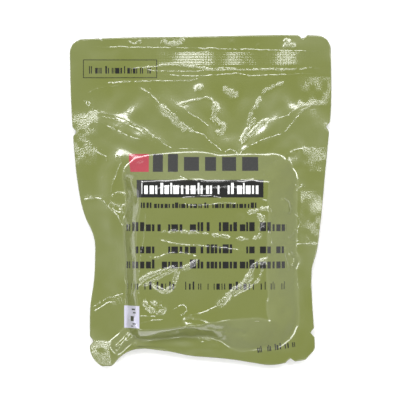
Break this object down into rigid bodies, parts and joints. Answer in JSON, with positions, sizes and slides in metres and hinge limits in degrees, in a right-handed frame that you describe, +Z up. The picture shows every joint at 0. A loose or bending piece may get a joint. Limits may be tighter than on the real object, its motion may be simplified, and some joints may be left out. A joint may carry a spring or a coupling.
{
  "type": "hemostatic gauze in a vacuum pouch",
  "caption": "Long Z-folded gauze strip sealed between two webs of olive green foil film, sucked tight round the block, with tear notches along the sealed edge, lying flat on its back.",
  "frame": {"origin": "centre of the pouch's bounding box, on the surface that it lies on", "axes": "+Z up off the printed front, +Y towards the opening end with the broad top seal, +X to the right as the front is read"},
  "size_m": [0.1384, 0.1754, 0.0167],
  "materials": {
    "printed_film": null,
    "plain_film": "glossy olive green foil film, bare",
    "gauze": "soft open woven gauze, off white"
  },
  "bodies": {
    "root": {"front_film": "printed_film", "back_film": "plain_film", "gauze": "gauze"}
  },
  "joints": []
}
